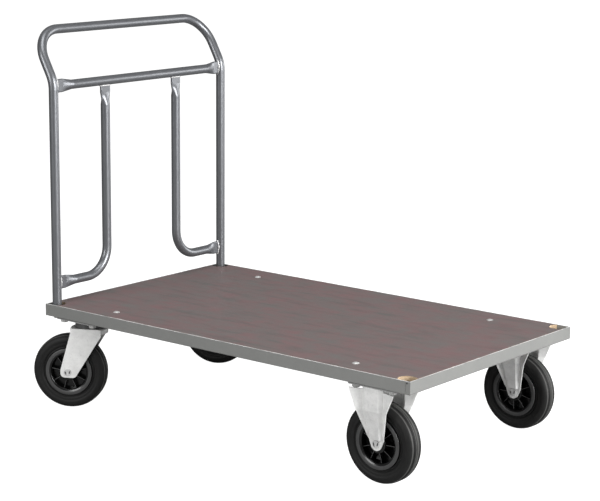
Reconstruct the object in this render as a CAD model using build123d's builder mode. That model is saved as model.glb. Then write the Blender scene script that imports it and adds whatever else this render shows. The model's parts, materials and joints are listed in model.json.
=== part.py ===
"""Platform trolley: a plywood deck in a steel rail frame, a bent tube handle at one end,
two fixed wheels at the free end and two swivel wheels at the handle end.

Millimetres, +Z up. +X runs along the deck, away from the handle. The origin is on the floor,
under the middle of the trolley's whole footprint at rest.
"""

import os
from math import cos, radians, sin, sqrt, tan

from build123d import *

os.makedirs("parts", exist_ok=True)

# ------------------------------------------------------------------ driving dimensions

deck_x = 31.0                # the deck's centre, from the origin: the handle leans out past one end
deck_y = 18.5                # and one swivel wheel stands out past one side
deck_length = 1200
deck_width = 700
deck_top = 277               # above the floor
board_thickness = 12
board_gap = 0.5              # play between the board and the rails
notch_radius = 23            # round notch in the board at each corner

rail_height = 32
rail_width = 45
rail_sheet = 3
rail_bend = 2.5              # radius of the rail's outer bottom bend
cross_width = 40
cross_x = 395                # cross members, each side of the deck's centre
gusset_depth = 75            # caster gusset, measured in from the side rail

tube_radius = 12.5
tube_wall = 1.5
post_from_end = 23
post_from_side = 21
kink_height = 871            # where the handle starts to lean out
handle_height = 999          # centre line of the push bar
lean = 29.5                  # degrees from upright
corner_bend = 84             # bend radii of the tube's centre line
kink_bend = 80
crossbar_height = 859
inner_tube_y = 139           # inner tubes, each side of the deck's centre
inner_foot_height = 333
inner_bend = 75
flat_height = 36             # a tube's squashed end
flat_thickness = 7
flat_length = 18             # squashed stretch, from the face of the tube that it meets
taper_length = 34

board_bolt_x = 395           # four bolts hold the board down on the cross members
board_bolt_y = 286
board_bolt_dx = 7.5          # the drilled pattern is a little off the deck's centre
board_bolt_dy = -10.5
m8_radius = 4
m10_radius = 5
hole_play = 0.25
hex_m8 = 13                  # across flats
hex_m10 = 17
hex_chamfer = 0.8
m8_nut_height = 6.5
m10_head_height = 6.4
m10_nut_height = 8
bolt_head_radius = 9         # the board bolts' low domes
bolt_head_height = 3.2       # above the deck
bolt_head_seat = 0.5         # how deep the heads bed into the board
bolt_seat_play = 0.3
board_bolt_past_nut = 4.5
caster_bolt_past_nut = 1.5
plug_height = 30             # threaded plug in the foot of each post
post_bolt_reach = 25         # how far the post's bolt runs into the plug

wheel_radius = 100
tyre_half_width = 24
tread_rounding = 15
tyre_shoulder_radius = 80    # the sidewall's widest ring, then a step down to the rim
tyre_step_radius = 72.5
tyre_step_depth = 1.8
tyre_lip_radius = 70
tyre_lip_stand = 0.5
groove_from_middle = 6.5
groove_width = 1.2
groove_depth = 1.2
rim_radius = 64
rim_inner_radius = 52
rim_half_width = 20
web_half_thickness = 3
rib_count = 10
rib_thickness = 3
rib_set_in = 3
hub_radius = 24
hub_half_width = 25
bearing_radius = 15
sleeve_radius = 10
axle_radius = 6
running_play = 0.06
close_play = 0.02
axle_hole_play = 0.05
roller_count = 10
bearing_set_in = 3
cage_half_thickness = 1
cage_play = 0.1
cage_rim = 3
roller_end_play = 0.2
merge = 2                    # how far a web or rib runs into its neighbour
bracket_inner = 26           # a fixed bracket's foot, inner face, from the wheel's middle
fork_inner = 30              # a swivel fork's leg, inner face
leg_sheet = 3

caster_height = 245
plate_length = 140
plate_width = 110
plate_sheet = 3
plate_corner = 8
bolt_pitch_x = 105
bolt_pitch_y = 80
fixed_x = 486
caster_y = 294.5
swivel_x = -492
trail = 52
near_swivel_angle = 29.5     # how far each swivel fork stands turned at rest
far_swivel_angle = 23

boss_radius = 16             # the round foot of a fixed bracket's leg
leg_knee = 185               # below it the legs of a fixed bracket lean in to the hub
wing_top = 233.5
wing_out = 54                # outer face of the wings' edges above the knee
valley_half = 30             # a shallow valley each side of the middle rib
valley_out = 45
crest_half = 19
crest_out = 52
wing_half_top = 65
wing_half_knee = 44.5
rib_bottom = 112
wing_half_bottom = 22
wing_out_bottom = 30.5
valley_half_bottom = 18
crest_half_bottom = 12
crest_out_bottom = 35
axle_head_radius = 10
axle_head_height = 1.6
crimp_depth = 1
crimp_width = 1.6
crimp_length = 5
crimp_turn = 20              # degrees from upright
crimp_from_middle = 5
crimp_offset = 1

crown_top = 221
crown_thickness = 5
crown_radius = 50.5
crown_lip = 9
crown_bend = 5
leg_top_half = 40
fork_foot = 86
fork_foot_half = 20
fork_foot_rounding = 11
fork_back_rise = 6           # above the axle, where the leg's back edge starts to slope
fork_front_drop = 14         # below the crown, where the leg's front edge starts
crown_hole_play = 2
cup_radius = 37
cup_sheet = 3
cup_bottom = 222
track_bottom = 226
track_height = 4
track_inner_radius = 19
upper_ball = 4
upper_pitch = 27
upper_ball_count = 16
upper_ball_z = 223.6
lower_ball = 2.5
lower_pitch = 16
lower_ball_count = 16
lower_ball_z = 214.3
race_top = 213
race_thickness = 4
race_radius = 21
kingpin_radius = 6
kingpin_top_radius = 8       # the end that is peened over the top plate
kingpin_head = 4
kingpin_head_radius = 11
kingpin_top_play = 1

# ------------------------------------------------------------------ worked out from them

rail_bottom = deck_top - rail_height
board_bottom = deck_top - board_thickness
left_x = deck_x - deck_length / 2
right_x = deck_x + deck_length / 2
near_y = deck_y - deck_width / 2
far_y = deck_y + deck_width / 2
post_x = left_x + post_from_end
post_half_span = deck_width / 2 - post_from_side
flange_top = rail_bottom + rail_sheet
plate_bottom = caster_height - plate_sheet
axle_height = wheel_radius
fork_outer = fork_inner + leg_sheet
bracket_outer = bracket_inner + leg_sheet
corner = (Align.MIN, Align.MIN)

post_points = [
    (end, deck_y + side * post_half_span)
    for end in (post_x, right_x - post_from_end)
    for side in (-1, 1)
]
board_bolt_points = [
    (deck_x + board_bolt_dx + end * board_bolt_x, deck_y + board_bolt_dy + side * board_bolt_y)
    for end in (-1, 1)
    for side in (-1, 1)
]
caster_centres = {
    "near_fixed": (deck_x + fixed_x, deck_y - caster_y, 0),
    "far_fixed": (deck_x + fixed_x, deck_y + caster_y, 0),
    "near_swivel": (deck_x + swivel_x, deck_y - caster_y, near_swivel_angle),
    "far_swivel": (deck_x + swivel_x, deck_y + caster_y, far_swivel_angle),
}
caster_bolt_points = [
    (x + end * bolt_pitch_x / 2, y + side * bolt_pitch_y / 2)
    for x, y, angle in caster_centres.values()
    for end in (-1, 1)
    for side in (-1, 1)
]


def write(piece, name):
    """Label a finished piece and write its file."""
    piece.label = name
    export_step(piece, f"parts/{name}.step")


def hex_prisms(points, bottom, height, across_flats, bore=0.0):
    """One hexagon prism at each point: bolt heads, or nuts where there is a bore."""
    with BuildPart() as prisms:
        with BuildSketch(Plane.XY.offset(bottom)):
            with Locations(*points):
                RegularPolygon(across_flats / 2, 6, major_radius=False, rotation=30)
                if bore:
                    Circle(bore, mode=Mode.SUBTRACT)
        extrude(amount=height)
        chamfer(prisms.edges().group_by(Axis.Z)[-1].filter_by(GeomType.LINE), hex_chamfer)
    return prisms.part


def shanks(points, bottom, top, radius):
    """One plain round shank at each point."""
    with BuildPart() as rods:
        with BuildSketch(Plane.XY.offset(bottom)):
            with Locations(*points):
                Circle(radius)
        extrude(amount=top - bottom)
    return rods.part


# ------------------------------------------------------------------ deck frame


def rail(start, along, length, wall_inset, flange_inset):
    """An open-topped channel rail: outer wall, bottom flange and the lip that the board rests on."""
    base = Plane(origin=start, x_dir=along, z_dir=(0, 0, 1))
    with BuildPart() as channel:
        with BuildSketch(base):
            with Locations((flange_inset, 0)):
                Rectangle(length - 2 * flange_inset, rail_width, align=corner)
        extrude(amount=rail_sheet)
        with BuildSketch(base):
            with Locations((wall_inset, 0)):
                Rectangle(length - 2 * wall_inset, rail_sheet, align=corner)
        extrude(amount=rail_height)
        with BuildSketch(base):
            with Locations((rail_width, rail_width - rail_sheet)):
                Rectangle(length - 2 * rail_width, rail_sheet, align=corner)
        extrude(amount=board_bottom - rail_bottom)
        outer_edge_middle = base.from_local_coords((length / 2, 0, 0))
        fillet(channel.edges().sort_by_distance(outer_edge_middle)[0], rail_bend)
        with BuildSketch(Plane.XY.offset(rail_bottom)):
            with Locations(*post_points, *caster_bolt_points):
                Circle(m10_radius + hole_play)
        extrude(amount=rail_sheet, mode=Mode.SUBTRACT)
    return channel.part


# The side rails' flanges fill the corners. The end rails' walls lie over their ends.
write(rail((left_x, near_y, rail_bottom), (1, 0, 0), deck_length, rail_sheet, rail_sheet), "near_side_rail")
write(rail((right_x, far_y, rail_bottom), (-1, 0, 0), deck_length, rail_sheet, rail_sheet), "far_side_rail")
write(rail((right_x, near_y, rail_bottom), (0, 1, 0), deck_width, 0, rail_width), "free_end_rail")
write(rail((left_x, far_y, rail_bottom), (0, -1, 0), deck_width, 0, rail_width), "handle_end_rail")


def cross_member(x):
    """An inverted channel under the board, from side rail to side rail."""
    span = deck_width - 2 * rail_width
    with BuildPart() as member:
        with BuildSketch(Plane(origin=(x, deck_y, board_bottom), z_dir=(0, 0, -1))):
            Rectangle(cross_width, span)
        extrude(amount=board_bottom - rail_bottom)
        with BuildSketch(Plane(origin=(x, deck_y, rail_bottom))):
            Rectangle(cross_width - 2 * rail_sheet, span)
        extrude(amount=board_bottom - rail_bottom - rail_sheet, mode=Mode.SUBTRACT)
        with BuildSketch(Plane.XY.offset(board_bottom)):
            with Locations(*board_bolt_points):
                Circle(m8_radius + hole_play)
        extrude(amount=-rail_sheet, mode=Mode.SUBTRACT)
    return member.part


write(cross_member(deck_x - cross_x), "handle_end_cross_member")
write(cross_member(deck_x + cross_x), "free_end_cross_member")

# Four gussets close the corners between the rails and the cross members, over the casters.
gusset_length = deck_length / 2 - rail_width - cross_x - cross_width / 2
with BuildPart() as gussets:
    with BuildSketch(Plane.XY.offset(rail_bottom)):
        for end in (-1, 1):
            for side in (-1, 1):
                gusset_x = deck_x + end * (deck_length / 2 - rail_width - gusset_length / 2)
                gusset_y = deck_y + side * (deck_width / 2 - rail_width - gusset_depth / 2)
                with Locations((gusset_x, gusset_y)):
                    Rectangle(gusset_length, gusset_depth)
        with Locations(*caster_bolt_points):
            Circle(m10_radius + hole_play, mode=Mode.SUBTRACT)
        with Locations(*[(x, y) for x, y, angle in caster_centres.values()]):
            Circle(kingpin_top_radius + kingpin_top_play, mode=Mode.SUBTRACT)
    extrude(amount=rail_sheet)
write(gussets.part, "corner_gussets")

# ------------------------------------------------------------------ board and its bolts

with BuildPart() as board:
    with BuildSketch(Plane((deck_x, deck_y, board_bottom))):
        Rectangle(
            deck_length - 2 * (rail_sheet + board_gap),
            deck_width - 2 * (rail_sheet + board_gap),
        )
    extrude(amount=board_thickness)
    with BuildSketch(Plane.XY.offset(board_bottom)):
        with Locations(*post_points):
            Circle(notch_radius)
        for x, y in post_points:
            out_x = 1 if x > deck_x else -1
            out_y = 1 if y > deck_y else -1
            with Locations((x + out_x * post_from_end / 2, y + out_y * post_from_side / 2)):
                Rectangle(post_from_end, post_from_side)
        with Locations(*board_bolt_points):
            Circle(m8_radius + hole_play)
    extrude(amount=board_thickness, mode=Mode.SUBTRACT)
    with BuildSketch(Plane.XY.offset(deck_top - bolt_head_seat)):
        with Locations(*board_bolt_points):
            Circle(bolt_head_radius + bolt_seat_play)
    extrude(amount=bolt_head_seat, mode=Mode.SUBTRACT)
write(board.part, "deck_board")

board_nut_bottom = board_bottom - rail_sheet - m8_nut_height
board_bolt_end = board_nut_bottom - board_bolt_past_nut
dome_radius = (bolt_head_radius**2 + bolt_head_height**2) / (2 * bolt_head_height)
with BuildPart() as board_bolts:
    with BuildSketch(Plane.XY.offset(deck_top - bolt_head_seat)):
        with Locations(*board_bolt_points):
            Circle(bolt_head_radius)
    extrude(amount=bolt_head_seat + bolt_head_height)
    with Locations(*[(x, y, deck_top + bolt_head_height - dome_radius) for x, y in board_bolt_points]):
        Sphere(dome_radius, mode=Mode.INTERSECT)
    add(shanks(board_bolt_points, board_bolt_end, deck_top, m8_radius))
write(board_bolts.part, "board_bolts")
write(
    hex_prisms(board_bolt_points, board_nut_bottom, m8_nut_height, hex_m8, m8_radius),
    "board_nuts",
)

# ------------------------------------------------------------------ handle

kink_offset = (handle_height - kink_height) * tan(radians(lean))
bar_x = post_x - kink_offset
post_near_y = deck_y - post_half_span
post_far_y = deck_y + post_half_span


def handle_solid(radius):
    """The bent tube as a solid bar of the given radius: two posts, the lean, and the push bar."""
    with BuildPart() as bar:
        with BuildLine() as route:
            FilletPolyline(
                (post_x, post_near_y, flange_top),
                (post_x, post_near_y, kink_height),
                (bar_x, post_near_y, handle_height),
                (bar_x, post_far_y, handle_height),
                (post_x, post_far_y, kink_height),
                (post_x, post_far_y, flange_top),
                radius=[kink_bend, corner_bend, corner_bend, kink_bend],
            )
        with BuildSketch(Plane(origin=route.line @ 0, z_dir=route.line % 0)):
            Circle(radius)
        sweep()
    return bar.part


handle_outline = handle_solid(tube_radius)
with BuildPart() as end_frame_tube:
    add(handle_outline)
    add(handle_solid(tube_radius - tube_wall), mode=Mode.SUBTRACT)
write(end_frame_tube.part, "end_frame_tube")


def squashed_bar(points, bends, shrink):
    """A bar along the points, round in the middle and squashed thin in X at both ends.

    shrink takes the wall's thickness off the outside, which gives the bar of the bore.
    """
    round_radius = tube_radius - shrink
    first = Vector(*points[0])
    last = Vector(*points[-1])
    set_in = flat_length + taper_length
    start_dir = (Vector(*points[1]) - first).normalized()
    end_dir = (Vector(*points[-2]) - last).normalized()
    middle = [first + start_dir * set_in, *points[1:-1], last + end_dir * set_in]
    with BuildPart() as bar:
        with BuildLine() as route:
            if bends:
                FilletPolyline(*middle, radius=bends)
            else:
                Line(middle[0], middle[-1])
        with BuildSketch(Plane(origin=route.line @ 0, z_dir=route.line % 0)):
            Circle(round_radius)
        sweep()
        for tip, inward in ((first, start_dir), (last, end_dir)):
            across = inward.cross(Vector(1, 0, 0))
            shoulder = Plane(origin=tip + inward * flat_length, x_dir=across, z_dir=inward)
            with BuildSketch(shoulder.offset(taper_length)):
                Circle(round_radius)
            with BuildSketch(shoulder):
                SlotOverall(flat_height - 2 * shrink, flat_thickness - 2 * shrink)
            loft()
            with BuildSketch(shoulder):
                SlotOverall(flat_height - 2 * shrink, flat_thickness - 2 * shrink)
            extrude(amount=-flat_length - tube_radius)
    return bar.part


def squashed_tube(points, bends, neighbour):
    """A tube with squashed ends, shaped at its tips to the tubes that it is welded to."""
    with BuildPart() as tube:
        add(squashed_bar(points, bends, 0))
        add(squashed_bar(points, bends, tube_wall), mode=Mode.SUBTRACT)
        add(neighbour, mode=Mode.SUBTRACT)
    return tube.part


crossbar = squashed_tube(
    [
        (post_x, post_near_y + tube_radius, crossbar_height),
        (post_x, post_far_y - tube_radius, crossbar_height),
    ],
    [],
    handle_outline,
)
write(crossbar, "crossbar")

with BuildPart() as crossbar_outline:
    with BuildSketch(Plane(origin=(post_x, deck_y, crossbar_height), z_dir=(0, 1, 0))):
        Circle(tube_radius)
    extrude(amount=post_half_span - tube_radius, both=True)
    add(handle_outline)

for side_name, side in (("near", -1), ("far", 1)):
    inner_tube = squashed_tube(
        [
            (post_x, deck_y + side * inner_tube_y, crossbar_height - tube_radius),
            (post_x, deck_y + side * inner_tube_y, inner_foot_height),
            (post_x, deck_y + side * (post_half_span - tube_radius), inner_foot_height),
        ],
        [inner_bend],
        crossbar_outline.part,
    )
    write(inner_tube, f"{side_name}_inner_tube")

# A threaded plug closes each post's foot. A bolt holds it down from under the rail.
handle_posts = post_points[:2]
with BuildPart() as post_plugs:
    with BuildSketch(Plane.XY.offset(flange_top)):
        with Locations(*handle_posts):
            Circle(tube_radius - tube_wall)
            Circle(m10_radius, mode=Mode.SUBTRACT)
    extrude(amount=plug_height)
write(post_plugs.part, "post_plugs")

with BuildPart() as post_bolts:
    add(hex_prisms(handle_posts, rail_bottom - m10_head_height, m10_head_height, hex_m10))
    add(shanks(handle_posts, rail_bottom - m10_head_height, flange_top + post_bolt_reach, m10_radius))
write(post_bolts.part, "post_bolts")

# ------------------------------------------------------------------ caster bolts

caster_bolt_end = plate_bottom - m10_nut_height - caster_bolt_past_nut
with BuildPart() as caster_bolts:
    add(hex_prisms(caster_bolt_points, flange_top, m10_head_height, hex_m10))
    add(shanks(caster_bolt_points, caster_bolt_end, flange_top + m10_head_height, m10_radius))
write(caster_bolts.part, "caster_bolts")
write(
    hex_prisms(
        caster_bolt_points, plate_bottom - m10_nut_height, m10_nut_height, hex_m10, m10_radius
    ),
    "caster_nuts",
)

# ------------------------------------------------------------------ wheels


def build_wheel(name, base, axle_x, leg_inner):
    """A tyre, rim, roller bearing, sleeve and axle, with the axle across base at axle_x."""
    leg_outer = leg_inner + leg_sheet
    centre = base.from_local_coords((axle_x, 0, axle_height))
    # Half-section plane: its x is the radius, its y runs along the axle.
    section = Plane(origin=centre, x_dir=(0, 0, 1), z_dir=-base.x_dir)
    # Side plane: its x runs forward, its y up.
    side = Plane(origin=centre, x_dir=base.x_dir, z_dir=-base.y_dir)
    axle = Axis(centre, base.y_dir)

    with BuildPart() as tyre:
        with BuildSketch(section) as tyre_section:
            with BuildLine():
                Polyline(
                    (rim_radius, -rim_half_width),
                    (rim_radius, rim_half_width),
                    (tyre_lip_radius, rim_half_width + tyre_lip_stand),
                    (tyre_step_radius, tyre_half_width - tyre_step_depth),
                    (tyre_shoulder_radius, tyre_half_width),
                    (wheel_radius, tyre_half_width),
                    (wheel_radius, -tyre_half_width),
                    (tyre_shoulder_radius, -tyre_half_width),
                    (tyre_step_radius, tyre_step_depth - tyre_half_width),
                    (tyre_lip_radius, -rim_half_width - tyre_lip_stand),
                    close=True,
                )
            make_face()
            fillet(tyre_section.vertices().group_by(Axis.X)[-1], tread_rounding)
            for groove in (-groove_from_middle, groove_from_middle):
                with Locations((wheel_radius, groove)):
                    Rectangle(2 * groove_depth, groove_width, mode=Mode.SUBTRACT)
        revolve(axis=axle)
    write(tyre.part, f"{name}_tyre")

    with BuildPart() as rim:
        with BuildSketch(section):
            with Locations(((hub_radius + bearing_radius) / 2, 0)):
                Rectangle(hub_radius - bearing_radius, 2 * hub_half_width)
            with Locations(((rim_inner_radius + hub_radius) / 2, 0)):
                Rectangle(rim_inner_radius - hub_radius + merge, 2 * web_half_thickness)
            with Locations(((rim_radius + rim_inner_radius) / 2, 0)):
                Rectangle(rim_radius - rim_inner_radius, 2 * rim_half_width)
        revolve(axis=axle)
        rib_middle = (rim_inner_radius + hub_radius) / 2
        with BuildSketch(side):
            with PolarLocations(rib_middle, rib_count):
                Rectangle(rim_inner_radius - hub_radius + merge, rib_thickness)
        extrude(amount=rim_half_width - rib_set_in, both=True)
    write(rim.part, f"{name}_rim")

    roller_radius = (bearing_radius - sleeve_radius) / 2 - running_play
    pitch_radius = (bearing_radius + sleeve_radius) / 2
    bearing_half_width = hub_half_width - bearing_set_in
    pocket_half_width = bearing_half_width - cage_rim
    with BuildPart() as roller_bearing:
        with BuildSketch(side):
            Circle(pitch_radius + cage_half_thickness)
            Circle(pitch_radius - cage_half_thickness, mode=Mode.SUBTRACT)
        extrude(amount=bearing_half_width, both=True)
        with BuildSketch(side):
            with PolarLocations(pitch_radius, roller_count):
                Circle(roller_radius + cage_play)
        extrude(amount=pocket_half_width, both=True, mode=Mode.SUBTRACT)
        with BuildSketch(side):
            with PolarLocations(pitch_radius, roller_count):
                Circle(roller_radius)
        extrude(amount=pocket_half_width - roller_end_play, both=True)
    write(roller_bearing.part, f"{name}_roller_bearing")

    with BuildPart() as sleeve:
        with BuildSketch(side):
            Circle(sleeve_radius)
            Circle(axle_radius, mode=Mode.SUBTRACT)
        extrude(amount=leg_inner, both=True)
    write(sleeve.part, f"{name}_axle_sleeve")

    with BuildPart() as axle_rivet:
        with BuildSketch(side):
            Circle(axle_radius)
        extrude(amount=leg_outer, both=True)
        for face in (-1, 1):
            with BuildSketch(side.offset(face * leg_outer)):
                Circle(axle_head_radius)
            extrude(amount=face * axle_head_height)
            with BuildSketch(side.offset(face * (leg_outer + axle_head_height))):
                with Locations((-crimp_from_middle, crimp_offset), (crimp_from_middle, -crimp_offset)):
                    Rectangle(crimp_width, crimp_length, rotation=crimp_turn)
            extrude(amount=-face * crimp_depth, mode=Mode.SUBTRACT)
    write(axle_rivet.part, f"{name}_axle")


def plate_sketch_holes():
    """The four bolt holes of a caster's top plate."""
    with GridLocations(bolt_pitch_x, bolt_pitch_y, 2, 2):
        Circle(m10_radius + hole_play, mode=Mode.SUBTRACT)


# ------------------------------------------------------------------ fixed casters


def wall_outline(outer_line):
    """Plan outline of a pressed leg: the outer line, and the same line one sheet thickness in."""
    inner_line = [(x, y - leg_sheet) for x, y in reversed(outer_line)]
    return [*outer_line, *inner_line]


def leg_line(edge, valley, crest):
    """Plan line of a pressed leg from wing to wing, each point as (half width, outer face)."""
    half = [edge, valley, crest]
    return [(-x, y) for x, y in half] + [(x, y) for x, y in reversed(half)]


def build_fixed_bracket(name, base):
    """A pressed bracket: top plate and two V-shaped legs, each with a raised rib down its middle."""
    side = Plane(origin=base.origin, x_dir=base.x_dir, z_dir=-base.y_dir)
    bottom_line = leg_line(
        (wing_half_bottom, wing_out_bottom),
        (valley_half_bottom, bracket_outer),
        (crest_half_bottom, crest_out_bottom),
    )
    knee_line = leg_line(
        (wing_half_knee, wing_out), (valley_half, valley_out), (crest_half, crest_out)
    )
    top_line = leg_line(
        (wing_half_top, wing_out), (valley_half, valley_out), (crest_half, crest_out)
    )
    with BuildPart() as leg:
        for low, low_line, high, high_line in (
            (rib_bottom, bottom_line, leg_knee, knee_line),
            (leg_knee, knee_line, wing_top, top_line),
        ):
            for height, line in ((low, low_line), (high, high_line)):
                with BuildSketch(base.offset(height)):
                    with BuildLine():
                        Polyline(*wall_outline(line), close=True)
                    make_face()
            loft(ruled=True)
        with BuildSketch(base.offset(wing_top)):
            with BuildLine():
                Polyline(*wall_outline(top_line[1:5]), close=True)
            make_face()
        extrude(amount=plate_bottom - wing_top)
        with BuildSketch(base.offset(rib_bottom)):
            with BuildLine():
                Polyline(*bottom_line[1:5], close=True)
            make_face()
        extrude(amount=leg_sheet)
        with BuildSketch(side.offset(-bracket_outer)):
            with Locations((0, axle_height)):
                Circle(boss_radius)
            with Locations((0, rib_bottom)):
                Rectangle(2 * wing_half_bottom, leg_sheet, align=(Align.CENTER, Align.MIN))
            make_hull()
        extrude(amount=leg_sheet)
    with BuildPart() as bracket:
        add(leg.part)
        mirror(leg.part, about=side)
        with BuildSketch(base.offset(plate_bottom)):
            RectangleRounded(plate_length, plate_width, plate_corner)
            plate_sketch_holes()
        extrude(amount=plate_sheet)
        with BuildSketch(side):
            with Locations((0, axle_height)):
                Circle(axle_radius + axle_hole_play)
        extrude(amount=plate_width / 2, both=True, mode=Mode.SUBTRACT)
    write(bracket.part, f"{name}_bracket")


# ------------------------------------------------------------------ swivel casters


def build_swivel_head(name, base, fork_base):
    """Top plate, ball cup, kingpin, both ball rows, lower race and the fork that turns between."""
    x, y, z = base.origin.X, base.origin.Y, 0
    centre_line = Axis((x, y, z), (0, 0, 1))
    half_section = Plane(origin=(x, y, 0), x_dir=(1, 0, 0), z_dir=(0, -1, 0))

    with BuildPart() as top_plate:
        with BuildSketch(base.offset(plate_bottom)):
            RectangleRounded(plate_length, plate_width, plate_corner)
            Circle(kingpin_radius, mode=Mode.SUBTRACT)
            plate_sketch_holes()
        extrude(amount=plate_sheet)
    write(top_plate.part, f"{name}_top_plate")

    # The cup hangs from the plate: its wall covers the upper balls, its floor is their track.
    with BuildPart() as cup:
        with BuildSketch(half_section):
            with Locations((cup_radius - cup_sheet, cup_bottom)):
                Rectangle(cup_sheet, plate_bottom - cup_bottom, align=corner)
            with Locations((track_inner_radius, track_bottom)):
                Rectangle(cup_radius - track_inner_radius, track_height, align=corner)
            with Locations((upper_pitch, upper_ball_z)):
                Circle(upper_ball + running_play, mode=Mode.SUBTRACT)
        revolve(axis=centre_line)
    write(cup.part, f"{name}_ball_cup")

    with BuildPart() as upper_balls:
        with Locations((x, y, upper_ball_z)):
            with PolarLocations(upper_pitch, upper_ball_count):
                Sphere(upper_ball)
    write(upper_balls.part, f"{name}_upper_balls")

    with BuildPart() as lower_balls:
        with Locations((x, y, lower_ball_z)):
            with PolarLocations(lower_pitch, lower_ball_count):
                Sphere(lower_ball)
    write(lower_balls.part, f"{name}_lower_balls")

    with BuildPart() as lower_race:
        with BuildSketch(half_section):
            with Locations((kingpin_radius, race_top - race_thickness)):
                Rectangle(race_radius - kingpin_radius, race_thickness, align=corner)
            with Locations((lower_pitch, lower_ball_z)):
                Circle(lower_ball + running_play, mode=Mode.SUBTRACT)
        revolve(axis=centre_line)
    write(lower_race.part, f"{name}_lower_race")

    with BuildPart() as kingpin:
        with BuildSketch(half_section):
            with Locations((0, race_top - race_thickness - kingpin_head)):
                Rectangle(kingpin_head_radius, kingpin_head, align=corner)
            with Locations((0, race_top - race_thickness)):
                Rectangle(kingpin_radius, caster_height - race_top + race_thickness, align=corner)
            with Locations((0, caster_height)):
                Rectangle(kingpin_top_radius, rail_sheet, align=corner)
        revolve(axis=centre_line)
    write(kingpin.part, f"{name}_kingpin")

    travel_view = Plane(origin=fork_base.origin, x_dir=fork_base.y_dir, z_dir=fork_base.x_dir)
    side = Plane(origin=fork_base.origin, x_dir=fork_base.x_dir, z_dir=-fork_base.y_dir)
    crown_bottom = crown_top - crown_thickness
    with BuildPart() as legs:
        with BuildSketch(travel_view):
            with Locations((0, fork_foot)):
                Rectangle(2 * fork_outer, crown_top - fork_foot, align=(Align.CENTER, Align.MIN))
            with Locations((0, fork_foot)):
                Rectangle(
                    2 * fork_inner,
                    crown_bottom - fork_foot,
                    align=(Align.CENTER, Align.MIN),
                    mode=Mode.SUBTRACT,
                )
        extrude(amount=trail + crown_radius, both=True)
        outer_bends = legs.edges().filter_by(Axis(fork_base.origin, fork_base.x_dir))
        fillet(outer_bends.group_by(Axis.Z)[-1], crown_bend)
        with BuildSketch(side) as leg_outline:
            with BuildLine():
                Polyline(
                    (-leg_top_half, crown_top),
                    (-trail - fork_foot_half, axle_height + fork_back_rise),
                    (-trail - fork_foot_half, fork_foot),
                    (-trail + fork_foot_half, fork_foot),
                    (leg_top_half, crown_bottom - fork_front_drop),
                    (leg_top_half, crown_top),
                    close=True,
                )
            make_face()
            fillet(leg_outline.vertices().group_by(Axis.Y)[0], fork_foot_rounding)
        extrude(amount=2 * fork_outer, both=True, mode=Mode.INTERSECT)
    with BuildPart() as crown:
        with BuildSketch(fork_base.offset(crown_top)):
            Circle(crown_radius)
        extrude(amount=-crown_lip - crown_thickness)
        fillet(crown.edges().group_by(Axis.Z)[-1], crown_bend)
        with BuildSketch(fork_base.offset(crown_bottom)):
            Circle(crown_radius - leg_sheet)
        extrude(amount=-crown_lip, mode=Mode.SUBTRACT)
        with BuildSketch(fork_base.offset(crown_top)):
            Rectangle(3 * crown_radius, 2 * fork_outer)
        extrude(amount=-crown_lip - crown_thickness, mode=Mode.INTERSECT)
    with BuildPart() as fork:
        add(legs.part)
        add(crown.part)
        with BuildSketch(fork_base.offset(crown_top)):
            Circle(kingpin_radius + crown_hole_play)
        extrude(amount=-crown_thickness, mode=Mode.SUBTRACT)
        with BuildSketch(half_section):
            with Locations((upper_pitch, upper_ball_z)):
                Circle(upper_ball + close_play)
            with Locations((lower_pitch, lower_ball_z)):
                Circle(lower_ball + close_play)
        revolve(axis=centre_line, mode=Mode.SUBTRACT)
        with BuildSketch(side):
            with Locations((-trail, axle_height)):
                Circle(axle_radius + axle_hole_play)
        extrude(amount=2 * fork_outer, both=True, mode=Mode.SUBTRACT)
    write(fork.part, f"{name}_fork")


for name, (x, y, angle) in caster_centres.items():
    plate_base = Plane(origin=(x, y, 0))
    turned_base = Plane(origin=(x, y, 0), x_dir=(cos(radians(angle)), sin(radians(angle)), 0))
    if name.endswith("fixed"):
        build_fixed_bracket(name, plate_base)
        build_wheel(name, plate_base, 0, bracket_inner)
    else:
        build_swivel_head(name, plate_base, turned_base)
        build_wheel(name, turned_base, -trail, fork_inner)
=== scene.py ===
"""Platform trolley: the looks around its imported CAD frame. Metres, +Z up, floor at z = 0."""

import json
import math

import bmesh
import bpy
import numpy as np
from mathutils import Matrix, Vector


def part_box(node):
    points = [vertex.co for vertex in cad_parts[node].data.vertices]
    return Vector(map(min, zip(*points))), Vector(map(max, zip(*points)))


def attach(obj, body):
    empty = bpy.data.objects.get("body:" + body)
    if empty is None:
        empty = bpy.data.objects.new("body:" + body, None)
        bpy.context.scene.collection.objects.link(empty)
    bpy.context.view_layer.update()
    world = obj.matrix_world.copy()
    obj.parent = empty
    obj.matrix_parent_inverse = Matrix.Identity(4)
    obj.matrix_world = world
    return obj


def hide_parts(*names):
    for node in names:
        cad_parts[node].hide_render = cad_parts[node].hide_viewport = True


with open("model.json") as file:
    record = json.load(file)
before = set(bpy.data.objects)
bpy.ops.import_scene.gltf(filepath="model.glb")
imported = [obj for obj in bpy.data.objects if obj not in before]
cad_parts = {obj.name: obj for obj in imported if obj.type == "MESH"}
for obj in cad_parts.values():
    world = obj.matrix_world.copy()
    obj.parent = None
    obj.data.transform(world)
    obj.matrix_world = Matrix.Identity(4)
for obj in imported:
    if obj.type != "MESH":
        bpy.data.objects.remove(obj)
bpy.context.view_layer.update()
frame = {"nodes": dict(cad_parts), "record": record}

nodes = frame["nodes"]
record = frame["record"]
joints = {joint["name"]: joint for joint in record["behaviour"]["joints"]}
CASTERS = ("near_fixed", "far_fixed", "near_swivel", "far_swivel")

# ------------------------------------------------------------------ camera, light, floor

deck_low, deck_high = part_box("deck_board")
deck_centre = (deck_low + deck_high) / 2
deck_top = deck_high.z

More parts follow.
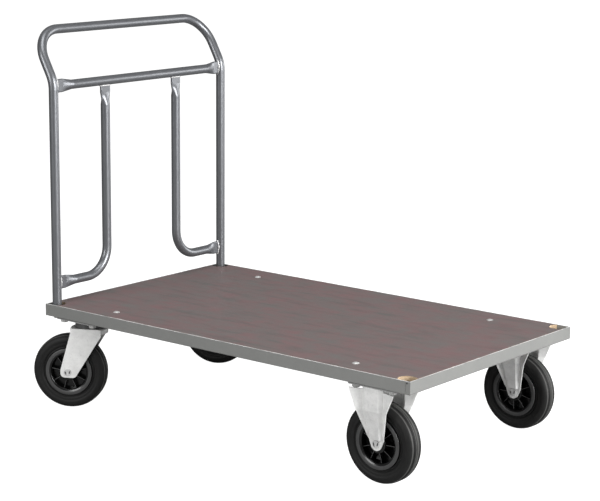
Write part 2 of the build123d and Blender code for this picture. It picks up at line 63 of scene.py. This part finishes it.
VIEW_AZIMUTH = math.radians(39.0)
VIEW_ELEVATION = math.radians(11.55)
VIEW_ROLL = math.radians(0.47)
VIEW_FROM_DECK = Vector((3.0263, -3.7499, 1.1567))   # from the middle of the deck's top face
VIEW_LENS = 113.57


def make_camera():
    """The camera stands in front of the near free corner and looks slightly down."""
    back = Vector((
        math.sin(VIEW_AZIMUTH) * math.cos(VIEW_ELEVATION),
        -math.cos(VIEW_AZIMUTH) * math.cos(VIEW_ELEVATION),
        math.sin(VIEW_ELEVATION),
    ))
    level = Vector((math.cos(VIEW_AZIMUTH), math.sin(VIEW_AZIMUTH), 0))
    raised = back.cross(level)
    right = level * math.cos(VIEW_ROLL) + raised * math.sin(VIEW_ROLL)
    turned = Matrix((right, back.cross(right), back)).transposed()
    camera = bpy.data.objects.new("camera", bpy.data.cameras.new("camera"))
    camera.data.lens = VIEW_LENS
    camera.data.sensor_width = 36
    camera.data.clip_end = 50
    position = Vector((deck_centre.x, deck_centre.y, deck_top)) + VIEW_FROM_DECK
    camera.matrix_world = Matrix.Translation(position) @ turned.to_4x4()
    bpy.context.collection.objects.link(camera)
    bpy.context.scene.camera = camera


def area_light(name, position, target, size, power):
    """A square soft light at a position, turned to a target."""
    light = bpy.data.objects.new(name, bpy.data.lights.new(name, "AREA"))
    light.data.shape = "SQUARE"
    light.data.size = size
    light.data.energy = power
    light.location = position
    light.rotation_euler = (Vector(target) - Vector(position)).to_track_quat("-Z", "Y").to_euler()
    bpy.context.collection.objects.link(light)


def make_lights():
    """White walls on the right and at the back, weaker soft lights in front and overhead."""
    area_light("right_wall", (5.2, -0.1, 1.9), deck_centre, size=2.6, power=380)
    area_light("back_wall", (2.6, 5.2, 0.9), deck_centre, size=3.0, power=150)
    area_light("front_light", (-0.9, -5.0, 2.2), deck_centre, size=2.2, power=118)
    area_light("top_light", (0.4, -0.6, 4.4), deck_centre, size=2.4, power=74)
    world = bpy.data.worlds.new("pale_room")
    world.use_nodes = True
    tree = world.node_tree
    room = tree.nodes["Background"]
    room.inputs["Color"].default_value = (1, 1, 1, 1)
    room.inputs["Strength"].default_value = 0.22
    backdrop = tree.nodes.new("ShaderNodeBackground")
    backdrop.inputs["Color"].default_value = (1, 1, 1, 1)
    backdrop.inputs["Strength"].default_value = 1.0
    light_path = tree.nodes.new("ShaderNodeLightPath")
    mix = tree.nodes.new("ShaderNodeMixShader")
    tree.links.new(light_path.outputs["Is Camera Ray"], mix.inputs["Fac"])
    tree.links.new(room.outputs["Background"], mix.inputs[1])
    tree.links.new(backdrop.outputs["Background"], mix.inputs[2])
    tree.links.new(mix.outputs["Shader"], tree.nodes["World Output"].inputs["Surface"])
    bpy.context.scene.world = world
    bpy.context.scene.view_settings.view_transform = "Standard"


# ------------------------------------------------------------------ materials

UNDERSIDE_MARGIN = 0.0002    # keeps the caster plates' own undersides out of the band
SHADE_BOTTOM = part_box("near_swivel_top_plate")[0].z + UNDERSIDE_MARGIN
SHADE_HALF_HEIGHT = 0.004    # of the band that the frame's shadow falls on
SHADE_STRENGTH = 0.65
CREVICE_SHADE_REACH = 0.03           # how near a neighbouring surface has to be to darken a crevice with painted shade
PLIES_PER_METRE = 420
FLOOR_HALF_WIDTH = 30


class Finish:
    """A Principled material and a few node-building steps."""

    def __init__(self, name, **sockets):
        self.material = bpy.data.materials.new(name)
        self.material.use_nodes = True
        self.tree = self.material.node_tree
        self.shader = self.tree.nodes["Principled BSDF"]
        self.set(**sockets)
        self.place = self.node("ShaderNodeTexCoord").outputs["Object"]

    def set(self, **sockets):
        for name, value in sockets.items():
            self.shader.inputs[name.replace("_", " ").title().replace("Ior", "IOR")].default_value = value

    def node(self, kind, **settings):
        made = self.tree.nodes.new(kind)
        for name, value in settings.items():
            setattr(made, name, value)
        return made

    def link(self, output, target):
        self.tree.links.new(output, target)

    def stretched(self, scale):
        """The object's own coordinates, scaled along each axis."""
        mapping = self.node("ShaderNodeMapping")
        mapping.inputs["Scale"].default_value = scale
        self.link(self.place, mapping.inputs["Vector"])
        return mapping.outputs["Vector"]

    def noise(self, scale, detail=4.0, roughness=0.55, stretch=(1, 1, 1)):
        made = self.node("ShaderNodeTexNoise")
        made.inputs["Scale"].default_value = scale
        made.inputs["Detail"].default_value = detail
        made.inputs["Roughness"].default_value = roughness
        self.link(self.stretched(stretch), made.inputs["Vector"])
        return made.outputs["Fac"]

    def ramp(self, factor, stops):
        """A colour ramp from (place, colour) pairs. A bare number is a grey."""
        made = self.node("ShaderNodeValToRGB")
        elements = made.color_ramp.elements
        while len(elements) < len(stops):
            elements.new(0.5)
        for element, (place, colour) in zip(elements, stops):
            element.position = place
            element.color = (colour,) * 3 + (1,) if isinstance(colour, (int, float)) else (*colour, 1)
        self.link(factor, made.inputs["Fac"])
        return made.outputs["Color"]

    def mix(self, factor, first, second, blend="MIX"):
        made = self.node("ShaderNodeMix", data_type="RGBA", blend_type=blend)
        for socket, value in zip(("Factor", "A", "B"), (factor, first, second)):
            target = [s for s in made.inputs if s.name == socket and s.enabled][0]
            if isinstance(value, bpy.types.NodeSocket):
                self.link(value, target)
            else:
                target.default_value = value if socket == "Factor" else (*value, 1)
        return [s for s in made.outputs if s.enabled][0]

    def math(self, operation, *values):
        made = self.node("ShaderNodeMath", operation=operation)
        for target, value in zip(made.inputs, values):
            if isinstance(value, bpy.types.NodeSocket):
                self.link(value, target)
            else:
                target.default_value = value
        return made.outputs["Value"]

    def bump(self, height, strength, distance):
        made = self.node("ShaderNodeBump")
        made.inputs["Strength"].default_value = strength
        made.inputs["Distance"].default_value = distance
        self.link(height, made.inputs["Height"])
        self.link(made.outputs["Normal"], self.shader.inputs["Normal"])

    def colour(self, output):
        self.link(output, self.shader.inputs["Base Color"])

    def roughness(self, output):
        self.link(output, self.shader.inputs["Roughness"])


def lacquer(name, pale, dark, roughness, painted_highlight_on_tops=False):
    """Silver-grey metallic lacquer with faint clouding. Faces that point up can get a pale, dull, mottled
    painted highlight.
    """
    metal = 0.7
    finish = Finish(name, metallic=metal, coat_weight=0.15, coat_roughness=0.15)
    base = finish.ramp(finish.noise(9, 3), [(0.3, dark), (0.7, pale)])
    if painted_highlight_on_tops:
        # Painted highlight: faces that point up are painted pale and less metallic.
        facing = finish.node("ShaderNodeSeparateXYZ")
        finish.link(finish.node("ShaderNodeNewGeometry").outputs["True Normal"], facing.inputs["Vector"])
        upward = finish.math("GREATER_THAN", facing.outputs["Z"], 0.3)
        painted_highlight = finish.ramp(finish.noise(30, 3, stretch=(1, 1, 0.2)), [(0.3, 0.4), (0.6, 0.85)])
        base = finish.mix(upward, base, painted_highlight)
        finish.link(finish.math("MULTIPLY_ADD", upward, -metal, metal), finish.shader.inputs["Metallic"])
    finish.colour(base)
    finish.roughness(finish.ramp(finish.noise(60, 3), [(0.3, roughness - 0.03), (0.7, roughness + 0.03)]))
    return finish.material


def bright_zinc(name, pale, dark, roughness):
    """Zinc-plated steel: cloudy patches, small dark flecks, painted shade in crevices and painted shade
    under the frame.
    """
    finish = Finish(name, metallic=0.3)
    patches = finish.noise(30, 5, 0.65)
    flecks = finish.noise(170, 3, 0.6)
    base = finish.ramp(patches, [(0.32, dark), (0.62, pale)])
    speck = finish.ramp(flecks, [(0.26, 0.8), (0.4, 1.0)])
    mottled = finish.mix(0.8, base, speck, "MULTIPLY")
    # Painted shade: ambient occlusion darkens the colour in crevices and between close parts.
    crevice = finish.node("ShaderNodeAmbientOcclusion", samples=8)
    crevice.inputs["Distance"].default_value = CREVICE_SHADE_REACH
    crevice_shade = finish.ramp(crevice.outputs["AO"], [(0.2, 0.2), (0.6, 1.0)])
    height = finish.node("ShaderNodeSeparateXYZ")
    finish.link(finish.place, height.inputs["Vector"])
    band_middle = SHADE_BOTTOM + SHADE_HALF_HEIGHT
    under_deck = finish.math("COMPARE", height.outputs["Z"], band_middle, SHADE_HALF_HEIGHT)
    shade = finish.math("MULTIPLY", under_deck, SHADE_STRENGTH)
    shaded = finish.mix(shade, crevice_shade, (0.0, 0.0, 0.0))
    finish.colour(finish.mix(1.0, mottled, shaded, "MULTIPLY"))
    finish.roughness(finish.ramp(patches, [(0.3, roughness + 0.1), (0.7, roughness - 0.05)]))
    finish.bump(finish.noise(60, 4), 0.12, 0.0008)
    return finish.material


def tyre_rubber():
    """Black solid rubber with a faint bloom, and grey painted highlight lines beside the middle groove and
    on the shoulders.
    """
    finish = Finish("tyre_rubber_finish", specular_ior_level=0.3)
    bloom = finish.noise(22, 5, 0.6)
    black = finish.ramp(bloom, [(0.3, (0.006, 0.006, 0.006)), (0.75, (0.012, 0.012, 0.0115))])
    # Painted highlight: grey lines beside the middle groove and on the shoulders.
    painted_highlight = finish.node("ShaderNodeAttribute", attribute_name="raised").outputs["Fac"]
    finish.colour(finish.mix(painted_highlight, black, (0.085, 0.085, 0.082)))
    finish.roughness(finish.ramp(bloom, [(0.3, 0.55), (0.75, 0.66)]))
    finish.bump(finish.noise(300, 2), 0.05, 0.0003)
    return finish.material


def rim_plastic():
    """Black moulded polypropylene: grey with scuffs on the raised ring, grey painted highlight on the rib
    edges, and painted shade making it black down in the dish.
    """
    finish = Finish("rim_plastic_finish", specular_ior_level=0.5)
    flow = finish.noise(45, 3)
    raised = finish.node("ShaderNodeAttribute", attribute_name="raised").outputs["Fac"]
    # The raised mask greys the ring (its own tone) and the rib edges (painted highlight), and leaves the
    # dish black as painted shade.
    scuffs_and_highlight = finish.math("MULTIPLY", raised, finish.math("ADD", flow, 0.5))
    finish.colour(finish.ramp(scuffs_and_highlight, [(0.0, 0.003), (0.62, 0.006), (0.8, 0.050), (1.0, 0.060)]))
    finish.roughness(finish.ramp(raised, [(0.3, 0.2), (0.85, 0.24), (0.95, 0.4)]))
    finish.bump(finish.noise(200, 2), 0.05, 0.0002)
    return finish.material


def film_faced_plywood():
    """Brown phenolic film over plywood: the film on the faces, cream plies on the cut edges."""
    finish = Finish("plywood_finish", specular_ior_level=0.4, coat_weight=0.05, coat_roughness=0.4)
    grain = finish.noise(7, 6, 0.6, stretch=(1, 5, 1))
    blotches = finish.noise(16, 5, 0.6)
    fine = finish.noise(700, 2, 0.6)
    brown = finish.ramp(grain, [
        (0.34, (0.140, 0.122, 0.118)),
        (0.5, (0.178, 0.133, 0.131)),
        (0.66, (0.158, 0.141, 0.136)),
    ])
    red = finish.ramp(blotches, [(0.40, (0.94, 1.0, 0.99)), (0.66, (1.10, 0.92, 0.94))])
    speck = finish.ramp(fine, [(0.3, 0.84), (0.7, 1.08)])
    film = finish.mix(1.0, finish.mix(1.0, brown, red, "MULTIPLY"), speck, "MULTIPLY")
    axes = finish.node("ShaderNodeSeparateXYZ")
    finish.link(finish.place, axes.inputs["Vector"])
    layer = finish.math("FRACT", finish.math("MULTIPLY", axes.outputs["Z"], PLIES_PER_METRE))
    fibres = finish.noise(60, 5, 0.6, stretch=(1, 1, 8))
    wood = finish.ramp(fibres, [(0.3, (0.50, 0.36, 0.22)), (0.7, (0.78, 0.66, 0.48))])
    plies = finish.mix(finish.ramp(layer, [(0.45, 0.0), (0.55, 1.0)]), wood, (0.36, 0.24, 0.14))
    normal = finish.node("ShaderNodeSeparateXYZ")
    finish.link(finish.node("ShaderNodeNewGeometry").outputs["True Normal"], normal.inputs["Vector"])
    facing = finish.math("ABSOLUTE", normal.outputs["Z"])
    on_face = finish.math("GREATER_THAN", facing, 0.7)
    finish.colour(finish.mix(on_face, plies, film))
    edge_roughness = finish.ramp(layer, [(0, 0.9), (1, 0.8)])
    film_roughness = finish.ramp(blotches, [(0.3, 0.48), (0.7, 0.58)])
    finish.roughness(finish.mix(on_face, edge_roughness, film_roughness))
    finish.bump(fine, 0.1, 0.0004)
    return finish.material


def make_materials():
    """One finish for each of the record's material slots."""
    tube_pale, tube_dark = (0.184, 0.190, 0.202), (0.169, 0.175, 0.187)
    frame_pale, frame_dark = (0.342, 0.344, 0.333), (0.320, 0.323, 0.313)
    return {
        "tube_lacquer": lacquer("tube_lacquer_finish", tube_pale, tube_dark, 0.36),
        "frame_lacquer": lacquer("frame_lacquer_finish", frame_pale, frame_dark, 0.52, painted_highlight_on_tops=True),
        "plywood": film_faced_plywood(),
        "zinc_sheet": bright_zinc("zinc_sheet_finish", (0.97, 0.97, 0.955), (0.80, 0.80, 0.79), 0.42),
        "dark_zinc": bright_zinc("dark_zinc_finish", (0.10, 0.10, 0.10), (0.05, 0.05, 0.05), 0.45),
        "zinc_fastener": bright_zinc("zinc_fastener_finish", (0.62, 0.62, 0.61), (0.45, 0.45, 0.44), 0.28),
        "plain_steel": bright_zinc("plain_steel_finish", (0.8, 0.8, 0.79), (0.55, 0.55, 0.55), 0.35),
        "bearing_steel": bright_zinc("bearing_steel_finish", (0.8, 0.8, 0.8), (0.7, 0.7, 0.7), 0.2),
        "rim_plastic": rim_plastic(),
        "tyre_rubber": tyre_rubber(),
    }


def dress_nodes(finishes):
    """Every CAD node that stays gets its slot's finish."""
    for part in record["subparts"]:
        mesh_object = nodes[part["node"]]
        mesh_object.data.materials.clear()
        mesh_object.data.materials.append(finishes[part["material_slot"]])


def make_floor():
    """A wide pale floor, bright from above and clear from below, that lights the deck's underside little."""
    mesh = bpy.data.meshes.new("floor")
    half = FLOOR_HALF_WIDTH
    corners = [(-half, -half, 0), (half, -half, 0), (half, half, 0), (-half, half, 0)]
    mesh.from_pydata(corners, [], [(0, 1, 2, 3)])
    floor = bpy.data.objects.new("floor", mesh)
    bpy.context.collection.objects.link(floor)
    finish = Finish("floor_finish", specular_ior_level=0.0, roughness=0.9)
    finish.colour(finish.ramp(finish.noise(3, 2), [(0.3, 0.34), (0.7, 0.36)]))
    glow = finish.node("ShaderNodeEmission")
    glow.inputs["Strength"].default_value = 1.0
    seen = finish.node("ShaderNodeAddShader")
    finish.link(finish.shader.outputs["BSDF"], seen.inputs[0])
    finish.link(glow.outputs["Emission"], seen.inputs[1])
    choice = finish.node("ShaderNodeMixShader")
    finish.link(finish.node("ShaderNodeLightPath").outputs["Is Camera Ray"], choice.inputs["Fac"])
    finish.link(finish.shader.outputs["BSDF"], choice.inputs[1])
    finish.link(seen.outputs["Shader"], choice.inputs[2])
    from_below = finish.node("ShaderNodeMixShader")
    finish.link(finish.node("ShaderNodeNewGeometry").outputs["Backfacing"], from_below.inputs["Fac"])
    finish.link(choice.outputs["Shader"], from_below.inputs[1])
    finish.link(finish.node("ShaderNodeBsdfTransparent").outputs["BSDF"], from_below.inputs[2])
    finish.link(from_below.outputs["Shader"], finish.tree.nodes["Material Output"].inputs["Surface"])
    mesh.materials.append(finish.material)


# ------------------------------------------------------------------ wheels


def millimetres(*values):
    """Millimetres as metres."""
    return [value / 1000 for value in values]


def wheel_frame(caster):
    """Middle of the wheel, its axle direction, and its forward direction."""
    spin = joints[f"{caster}_wheel_spin"]
    axle = Vector(spin["axis"]).normalized()
    return Vector(spin["pos_m"]), axle, axle.cross(Vector((0, 0, 1)))


def add_piece(name, points, faces, body, slot, replaced=()):
    """A smooth mesh piece that rides on a body and stands for CAD nodes."""
    mesh = bpy.data.meshes.new(name)
    mesh.from_pydata([tuple(point) for point in points], [], faces)
    mesh.validate()
    grown = bmesh.new()
    grown.from_mesh(mesh)
    bmesh.ops.recalc_face_normals(grown, faces=grown.faces)
    grown.to_mesh(mesh)
    grown.free()
    mesh.shade_smooth()
    mesh.materials.append(finishes[slot])
    piece = bpy.data.objects.new(name, mesh)
    bpy.context.collection.objects.link(piece)
    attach(piece, body)
    for node in replaced:
        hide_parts(node)
    return piece


def store_raised(piece, values):
    """Store one number for each point, the mask that the finishes read for painted highlight and, on the
    rim, for painted shade in the dish.
    """
    piece.data.attributes.new("raised", "FLOAT", "POINT").data.foreach_set("value", values)


def tread_highlight_bands(piece, centre, axle):
    """1 on the painted highlight bands beside the tread's middle groove and on its shoulders, 0 elsewhere.
    """
    highlight_mask = []
    for vertex in piece.data.vertices:
        along = (vertex.co - centre).dot(axle)
        radius = (vertex.co - centre - axle * along).length
        on_band = any(abs(abs(along) - band) < HIGHLIGHT_HALF_WIDTH for band in HIGHLIGHT_BANDS)
        highlight_mask.append(1.0 if on_band and radius > TREAD_INNER_RADIUS else 0.0)
    return highlight_mask


def soften(piece, width, angle=35):
    """Round the sharp edges a little, as moulded and pressed edges are."""
    rounding = piece.modifiers.new("rounding", "BEVEL")
    rounding.width = width
    rounding.segments = 2
    rounding.limit_method = "ANGLE"
    rounding.angle_limit = math.radians(angle)
    rounding.harden_normals = True


def ring_faces(steps, count):
    """Faces of a ring closed both ways: steps round it, and count points in each section."""
    faces = []
    for step in range(steps):
        here, there = step * count, (step + 1) % steps * count
        for k in range(count):
            after = (k + 1) % count
            faces.append((here + k, here + after, there + after, there + k))
    return faces


def append_mesh(points, faces, more_points, more_faces):
    """Put a second mesh's points and faces after the first's, and say at which point it starts."""
    start = len(points)
    points += more_points
    faces += [tuple(k + start for k in face) for face in more_faces]
    return start


def lathe(profile, centre, axle, forward):
    """Points and faces of a closed ring: profile points are (radius, distance along the axle)."""
    up = Vector((0, 0, 1))
    points = []
    for step in range(LATHE_STEPS):
        angle = 2 * math.pi * step / LATHE_STEPS
        outward = up * math.cos(angle) + forward * math.sin(angle)
        points += [centre + outward * radius + axle * along for radius, along in profile]
    return points, ring_faces(LATHE_STEPS, len(profile))


def arc(centre_radius, centre_along, radius, start, end, count):
    """Profile points round an arc, angles in degrees from the outward direction."""
    return [
        (centre_radius + radius * math.cos(angle), centre_along + radius * math.sin(angle))
        for angle in np.radians(np.linspace(start, end, count))
    ]


def both_sides(half):
    """A profile's points for the far side of a wheel, mirrored after them for the near side."""
    return half + [(radius, -along) for radius, along in reversed(half)]


def tyre_profile():
    """Half the tyre's section, from the rim out to the middle of the tread."""
    sidewall = [
        (64.0, 19.2), (64.6, 20.3), (66.4, 20.8), (67.6, 20.4), (68.4, 18.9), (69.6, 18.9), (70.4, 20.6),
        (72.4, 22.0), (75.2, 22.9), (77.6, 22.5), (79.2, 22.6), (81.0, 23.6), (83.6, 24.0),
    ]
    shoulder = arc(84.2, 8.6, 15.4, 88, 20, 9)
    groove = [
        (98.9, 13.4), (98.7, 12.6), (97.4, 12.2), (97.4, 10.6), (99.6, 10.2), (99.8, 9.6),
        (99.9, 5.6), (100.0, 4.4), (100.0, 3.6), (98.4, 3.2), (98.4, 0.6),
    ]
    return [tuple(millimetres(*point)) for point in sidewall + shoulder + groove]


def rim_profile():
    """Half the rim's section: tyre seat, flat ring, dished inner wall, web and hub."""
    ring = [(63.9, 12.0), (63.9, 22.8), (63.2, 24.2), (62.4, 24.6), (55.2, 24.6), (54.2, 24.1)]
    dish = [
        (53.2, 23.7), (51.4, 23.0), (49.8, 22.1), (48.8, 20.8), (48.2, 18.0), (47.8, 12.0), (47.4, 5.0),
        (46.6, 3.2),
    ]
    hub = [(25.2, 2.6), (24.2, 4.0), (23.6, 12.0), (23.2, 24.2), (22.4, 25.0), (16.2, 25.0), (15.1, 24.0)]
    return [tuple(millimetres(*point)) for point in ring + dish + hub]


LATHE_STEPS = 144
# Painted highlight lines on the tread: their distances from the middle plane and their half width.
HIGHLIGHT_BANDS = (0.0036, 0.0160)    # distances from the middle plane
HIGHLIGHT_HALF_WIDTH = 0.0012
TREAD_INNER_RADIUS = 0.096
RING_INNER_RADIUS = 0.054
RING_FACE = 0.024
RIM_ROUNDING = 0.0004
RIB_COUNT = 9
RIB_HALF_THICKNESS = 0.0008
RIB_WALL = ((22.5, 1.0), (22.5, 20.0), (36.0, 17.6), (48.6, 16.2), (48.6, 1.0))    # millimetres
RIB_EDGE = ((22.5, 19.8), (22.5, 21.0), (36.0, 18.6), (48.6, 17.2), (48.6, 16.0), (36.0, 17.4))
# Degrees past straight up.
RIB_TURNS = {"near_fixed": 10, "far_fixed": 25, "near_swivel": 38, "far_swivel": 5}


def rib_slabs(centre, axle, forward, turn, outline):
    """Thin ribs each side of the web; outline points are (radius, distance along the axle)."""
    up = Vector((0, 0, 1))
    outline = [millimetres(*point) for point in outline]
    points, faces = [], []
    for side in (-1, 1):
        for rib in range(RIB_COUNT):
            angle = 2 * math.pi * rib / RIB_COUNT + math.radians(turn)
            outward = up * math.cos(angle) + forward * math.sin(angle)
            across = axle.cross(outward)
            first = len(points)
            for face in (-1, 1):
                for radius, along in outline:
                    thin = RIB_HALF_THICKNESS * face
                    points.append(centre + outward * radius + axle * side * along + across * thin)
            count = len(outline)
            faces.append(tuple(first + k for k in range(count)))
            faces.append(tuple(first + count + k for k in reversed(range(count))))
            for k in range(count):
                after = (k + 1) % count
                faces.append((first + k, first + count + k, first + count + after, first + after))
    return points, faces


def build_wheels():
    """A tyre with stepped sidewalls and tread grooves, and a ribbed rim, in each caster."""
    for caster in CASTERS:
        centre, axle, forward = wheel_frame(caster)
        wheel = f"{caster}_wheel"
        points, faces = lathe(both_sides(tyre_profile()), centre, axle, forward)
        tyre = add_piece(f"{caster}_ringed_tyre", points, faces, wheel, "tyre_rubber", [f"{caster}_tyre"])
        store_raised(tyre, tread_highlight_bands(tyre, centre, axle))
        points, faces = lathe(both_sides(rim_profile()), centre, axle, forward)
        turn = RIB_TURNS[caster]
        append_mesh(points, faces, *rib_slabs(centre, axle, forward, turn, RIB_WALL))
        rib_edges = rib_slabs(centre, axle, forward, turn, RIB_EDGE)
        rib_edges_start = append_mesh(points, faces, *rib_edges)
        rim = add_piece(f"{caster}_ribbed_rim", points, faces, wheel, "rim_plastic", [f"{caster}_rim"])
        # 1 on the ring and the rib edges, 0 in the dish: the finish paints the rib edges with a highlight
        # and the dish with shade.
        raised = []
        for number, point in enumerate(points):
            along = abs((point - centre).dot(axle))
            radius = math.sqrt((point - centre).length_squared - along ** 2)
            on_ring = radius > RING_INNER_RADIUS and along > RING_FACE
            raised.append(1.0 if on_ring or number >= rib_edges_start else 0.0)
        store_raised(rim, raised)
        soften(rim, RIM_ROUNDING)


# ------------------------------------------------------------------ welds, seams, crimps and soft edges


BEAD_JITTER = 0.07    # uneven thickness of a bead, as a share of it
BEAD_WAVE = 0.16
WELD_BEAD = 0.0023
WELD_WAVES = 17
WELD_INSET = 0.0006
FLAT_HALF_WIDTH = 0.0185        # of a tube's squashed end
FLAT_HALF_THICKNESS = 0.0046
FLAT_FROM_BEND = 0.018          # from an inner tube's outline to the middle of its squashed end
SEAM_BEAD = 0.0006
SEAM_HALF_WIDTH = 0.0003
SEAM_FROM_CORNER = 0.0095
SEAM_END_GAP = 0.002
PINHOLE_FROM_SEAM = 0.003
PINHOLE_FROM_TOP = 0.0045
PINHOLE_HALF_HEIGHT = 0.0012
PINHOLE_HALF_WIDTH = 0.0009
PINHOLE_BEAD = 0.0011
SWIVEL_AXLE_REACH = 0.0346      # from the wheel's middle to the end of a swivel caster's axle
CRIMP_FROM_MIDDLE = 0.0056
CRIMP_OFFSET = 0.0015
CRIMP_HALF_LENGTH = 0.0042
CRIMP_LEAN = 0.0016
CRIMP_HALF_WIDTH = 0.0007
CRIMP_BEAD = 0.0012
# Width of the rounding, and the least angle in degrees that counts as an edge.
RAIL_ROUNDING = (0.0014, 60)
BRACKET_ROUNDING = (0.0012, 4)
FORK_ROUNDING = (0.0006, 30)


def rough_ring(centre, wide, thin, bead, waves, seed, steps=96, around=10):
    """A closed bead round an oval: wide and thin are its half axes, bead its mean half thickness."""
    jitter = np.random.default_rng(seed).normal(0, BEAD_JITTER, steps)
    normal = wide.cross(thin).normalized()
    points = []
    for step in range(steps):
        angle = 2 * math.pi * step / steps
        outward = (wide * math.cos(angle) + thin * math.sin(angle)).normalized()
        middle = centre + wide * math.cos(angle) + thin * math.sin(angle)
        radius = bead * (1 + BEAD_WAVE * math.sin(waves * angle) + jitter[step])
        for k in range(around):
            turn = 2 * math.pi * k / around
            points.append(middle + (outward * math.cos(turn) + normal * math.sin(turn)) * radius)
    return points, ring_faces(steps, around)


def build_seams():
    """The thin dressed weld down each corner of the frame, with a pinhole near the top of one, drawn as a
    dark ring of painted shade.
    """
    for side in ("near", "far"):
        low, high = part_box(f"{side}_side_rail")
        face_y = low.y if side == "near" else high.y
        middle_z = (low.z + high.z) / 2
        tall = Vector((0, 0, (high.z - low.z) / 2 - SEAM_END_GAP))
        wide = Vector((SEAM_HALF_WIDTH, 0, 0))
        for end, x in (("free", high.x - SEAM_FROM_CORNER), ("handle", low.x + SEAM_FROM_CORNER)):
            middle = Vector((x, face_y, middle_z))
            points, faces = rough_ring(middle, tall, wide, SEAM_BEAD, waves=5, seed=11)
            add_piece(f"{side}_{end}_seam", points, faces, "chassis", "frame_lacquer")
    low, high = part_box("near_side_rail")
    pinhole_x = high.x - SEAM_FROM_CORNER + PINHOLE_FROM_SEAM
    pinhole = Vector((pinhole_x, low.y, high.z - PINHOLE_FROM_TOP))
    tall = Vector((0, 0, PINHOLE_HALF_HEIGHT))
    wide = Vector((PINHOLE_HALF_WIDTH, 0, 0))
    # Painted shade: a dark ring stands for the shadowed inside of the pinhole.
    points, faces = rough_ring(pinhole, tall, wide, PINHOLE_BEAD, waves=3, seed=5, steps=24, around=8)
    add_piece("seam_pinhole", points, faces, "chassis", "dark_zinc")


def build_welds():
    """Weld beads where the squashed ends meet the tubes."""
    bar_low, bar_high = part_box("crossbar")
    middle = (bar_low + bar_high) / 2
    upright = Vector((0, 0, FLAT_HALF_WIDTH))
    level = Vector((0, FLAT_HALF_WIDTH, 0))
    thin = Vector((FLAT_HALF_THICKNESS, 0, 0))
    rings = {
        "crossbar_near": (Vector((middle.x, bar_low.y + WELD_INSET, middle.z)), upright),
        "crossbar_far": (Vector((middle.x, bar_high.y - WELD_INSET, middle.z)), upright),
    }
    for side in ("near", "far"):
        low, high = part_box(f"{side}_inner_tube")
        foot_y = low.y + WELD_INSET if side == "near" else high.y - WELD_INSET
        top_y = high.y - FLAT_FROM_BEND if side == "near" else low.y + FLAT_FROM_BEND
        rings[f"{side}_foot"] = (Vector((middle.x, foot_y, low.z + FLAT_FROM_BEND)), upright)
        rings[f"{side}_top"] = (Vector((middle.x, top_y, high.z - WELD_INSET)), level)
    for number, (name, (centre, wide)) in enumerate(rings.items()):
        points, faces = rough_ring(centre, wide, thin, WELD_BEAD, WELD_WAVES, seed=number)
        add_piece(f"weld_{name}", points, faces, "chassis", "plain_steel")


def build_crimps():
    """Two dark crimp marks in each end of every riveted axle, dark rings that paint the shade in the dents.
    """
    for caster in CASTERS:
        centre, axle, forward = wheel_frame(caster)
        low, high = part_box(f"{caster}_axle")
        reach = max(abs((corner - centre).dot(axle)) for corner in (low, high))
        if "swivel" in caster:
            reach = SWIVEL_AXLE_REACH
        thin = forward * CRIMP_HALF_WIDTH
        points, faces = [], []
        for side in (-1, 1):
            axle_end = centre + axle * side * reach
            for place in (-1, 1):
                offset = Vector((0, 0, CRIMP_OFFSET * place))
                middle = axle_end + forward * place * CRIMP_FROM_MIDDLE + offset
                long = Vector((0, 0, CRIMP_HALF_LENGTH)) + forward * place * CRIMP_LEAN
                # Painted shade: each crimp's dent is drawn as a dark ring.
                mark = rough_ring(middle, long, thin, CRIMP_BEAD, waves=3, seed=7, steps=20, around=6)
                append_mesh(points, faces, *mark)
        body = f"{caster}_fork" if "swivel" in caster else "chassis"
        add_piece(f"{caster}_crimps", points, faces, body, "dark_zinc")


def soften_nodes():
    """Folded and cut steel keeps a small rounding on every edge."""
    for name in ("near_side_rail", "far_side_rail", "free_end_rail", "handle_end_rail"):
        soften(nodes[name], *RAIL_ROUNDING)
    for name in ("near_fixed_bracket", "far_fixed_bracket"):
        soften(nodes[name], *BRACKET_ROUNDING)
    for name in ("near_swivel_fork", "far_swivel_fork"):
        soften(nodes[name], *FORK_ROUNDING)


make_camera()
make_lights()
make_floor()
finishes = make_materials()
dress_nodes(finishes)
build_wheels()
build_welds()
build_seams()
build_crimps()
soften_nodes()
